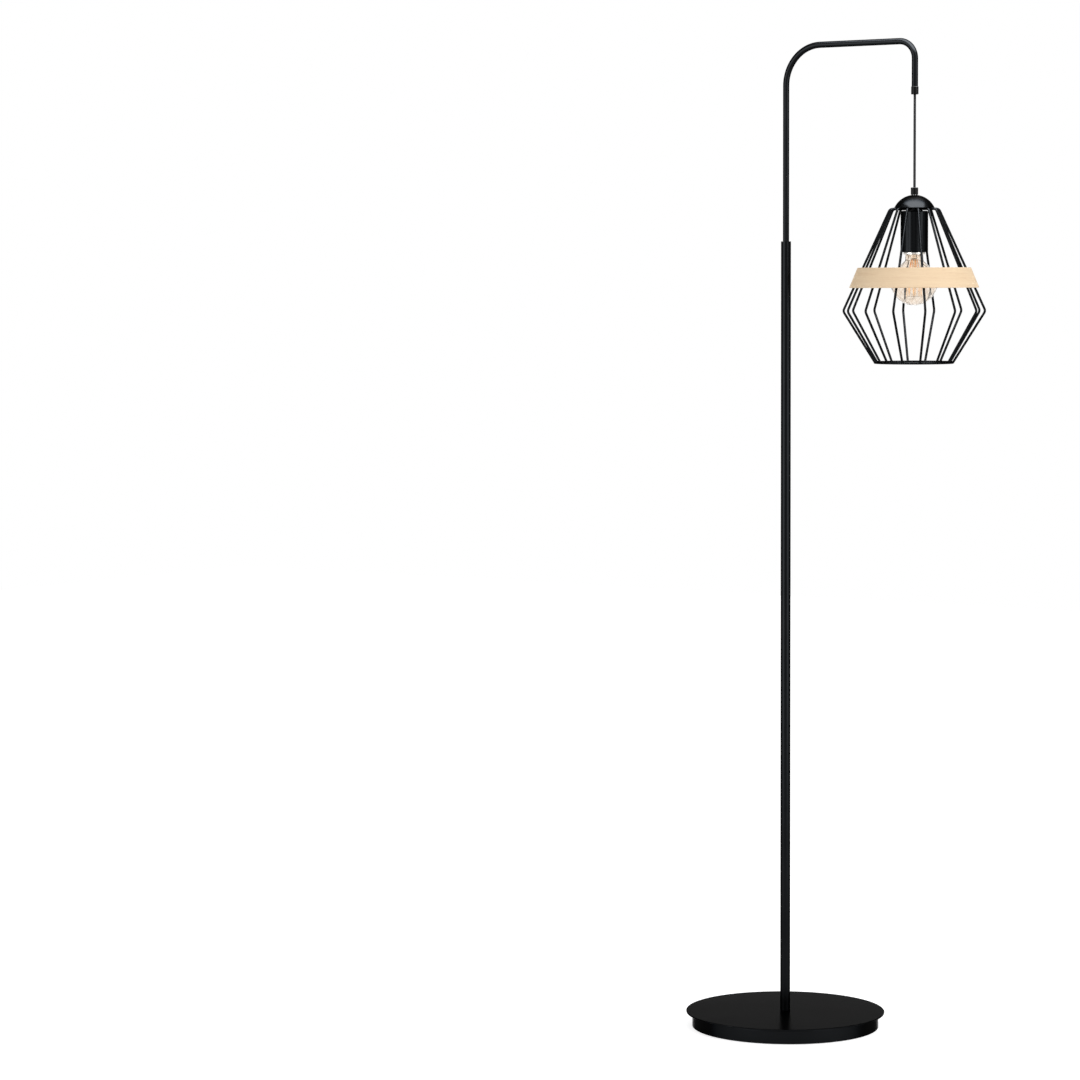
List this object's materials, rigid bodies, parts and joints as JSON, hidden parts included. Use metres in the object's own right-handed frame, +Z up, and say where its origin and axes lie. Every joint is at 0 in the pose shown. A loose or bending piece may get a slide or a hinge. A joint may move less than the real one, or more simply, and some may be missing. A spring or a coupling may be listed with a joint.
{
  "type": "floor lamp",
  "caption": "Floor lamp: round base, slim pole, bent arm and a hanging bent-wire cage shade with a wooden hoop and a clear globe bulb.",
  "frame": {"origin": "on the pole's axis, at the underside of the felt pad that the lamp stands on", "axes": "+Z up along the pole, +X from the pole towards the hanging shade, +Y to the left of that"},
  "size_m": [0.5089, 0.322, 1.5888],
  "materials": {
    "felt": "matt felt",
    "cast_iron": "bare casting",
    "black_paint": "satin black powder coat",
    "black_wire": "satin black powder coat",
    "rubber": "matt",
    "white_plastic": "satin",
    "black_plastic": "satin",
    "zinc_steel": "zinc plated",
    "cord_jacket": "matt",
    "pale_wood": "clear matt lacquer",
    "brass": "plain",
    "nickel": "plated",
    "amber_glass": "clear amber tint",
    "clear_glass": "clear",
    "black_glass": "gloss",
    "filament": "warm"
  },
  "bodies": {
    "stand": {"base_pad": "felt", "base_weight": "cast_iron", "base_skirt": "black_paint", "base_plate": "black_paint", "base_grommet": "rubber", "base_terminal": "white_plastic", "tie_rod": "zinc_steel", "tie_washer": "zinc_steel", "tie_nut": "zinc_steel", "pole_tube": "black_paint", "pole_plug": "zinc_steel", "pole_bush": "black_plastic", "pole_lead": "cord_jacket"},
    "arm": {"arm_tube": "black_paint", "arm_lead": "cord_jacket", "arm_ferrule": "black_plastic"},
    "cord_top": {"cord_bend": "cord_jacket"},
    "cord": {"pendant_cord": "cord_jacket"},
    "shade": {"cord_grip": "black_plastic", "shade_rod": "zinc_steel", "holder_lead": "cord_jacket", "dome_cap": "black_paint", "dome_nut": "zinc_steel", "cage_hub": "black_wire", "cage_wire_01": "black_wire", "cage_wire_02": "black_wire", "cage_wire_03": "black_wire", "cage_wire_04": "black_wire", "cage_wire_05": "black_wire", "cage_wire_06": "black_wire", "cage_wire_07": "black_wire", "cage_wire_08": "black_wire", "cage_wire_09": "black_wire", "cage_wire_10": "black_wire", "cage_wire_11": "black_wire", "cage_wire_12": "black_wire", "cage_wire_13": "black_wire", "cage_wire_14": "black_wire", "cage_ring": "black_wire", "wood_band": "pale_wood", "hub_washer": "black_plastic", "holder_sleeve": "black_paint", "sleeve_nut": "zinc_steel", "socket_body": "black_plastic", "socket_shell": "brass", "socket_contact": "brass", "socket_screws": "zinc_steel"},
    "bulb_base": {"bulb_tip": "nickel"},
    "bulb": {"bulb_globe": "amber_glass", "bulb_cap": "nickel", "bulb_insulator": "black_glass", "bulb_stem": "clear_glass", "bulb_supports": "nickel", "bulb_filaments": "filament"}
  },
  "joints": [
    {"name": "arm_swivel", "type": "hinge", "parent": "stand", "child": "arm", "pos_m": [0, 0, 1.273], "axis": [0, 0, 1], "range_deg": [-150, 150]},
    {"name": "swing_sideways", "type": "hinge", "parent": "arm", "child": "cord_top", "pos_m": [0.2355, 0, 1.5016], "axis": [1, 0, 0], "range_deg": [-35, 35]},
    {"name": "swing_in_line", "type": "hinge", "parent": "cord_top", "child": "cord", "pos_m": [0.2355, 0, 1.5016], "axis": [0, 1, 0], "range_deg": [-35, 18]},
    {"name": "shade_twist", "type": "hinge", "parent": "cord", "child": "shade", "pos_m": [0.2355, 0, 1.3552], "axis": [0, 0, 1], "range_deg": [-90, 90], "stiffness_Nm_per_rad": 0.004},
    {"name": "bulb_lower", "type": "slide", "parent": "shade", "child": "bulb_base", "axis": [0, 0, -1], "range_m": [0, 0.02172]},
    {"name": "bulb_turn", "type": "hinge", "parent": "bulb_base", "child": "bulb", "pos_m": [0.2355, 0, 1.2503], "axis": [0, 0, -1], "range_deg": [0, 2160]}
  ],
  "couplings": [
    {"joint": "bulb_lower", "follows": "bulb_turn", "m_per_rad": 0.00057614}
  ]
}
